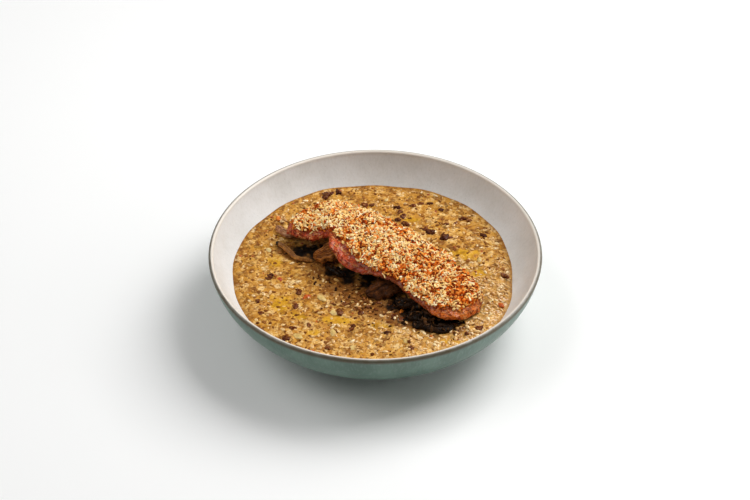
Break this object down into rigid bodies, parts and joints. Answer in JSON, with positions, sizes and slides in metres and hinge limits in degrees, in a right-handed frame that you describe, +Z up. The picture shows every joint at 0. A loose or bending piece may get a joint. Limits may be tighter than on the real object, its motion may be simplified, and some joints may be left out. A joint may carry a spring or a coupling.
{
  "type": "bacon risotto in its bowl",
  "caption": "Shallow glazed coupe bowl filled with mushroom risotto, topped with fried mushroom slices and a crumbed bacon rasher.",
  "frame": {"origin": "middle of the flat underside of the bowl's foot ring", "axes": "+Z up, -Y towards the diner, +X to the diner's right"},
  "size_m": [0.22, 0.22, 0.0512],
  "materials": {
    "glazed_stoneware": "sage green glaze outside, warm white speckled glaze inside, thin brown line at the rim",
    "risotto": "wet creamy rice with brown mushroom dice",
    "crumbed_bacon": "pink and red cooked bacon under toasted golden crumbs",
    "fried_mushroom": "glossy brown fried mushroom with gills",
    "dark_mushroom": "glossy near black fried mushroom gills"
  },
  "bodies": {
    "root": {"bowl": "glazed_stoneware", "risotto": "risotto", "bacon_rasher": "crumbed_bacon", "mushroom_fan": "fried_mushroom", "mushroom_curl": "fried_mushroom", "mushroom_tail": "fried_mushroom", "mushroom_strip": "fried_mushroom", "mushroom_cap": "fried_mushroom", "mushroom_dark_left": "dark_mushroom", "mushroom_dark_middle": "dark_mushroom", "mushroom_dark_right": "dark_mushroom"}
  },
  "joints": []
}
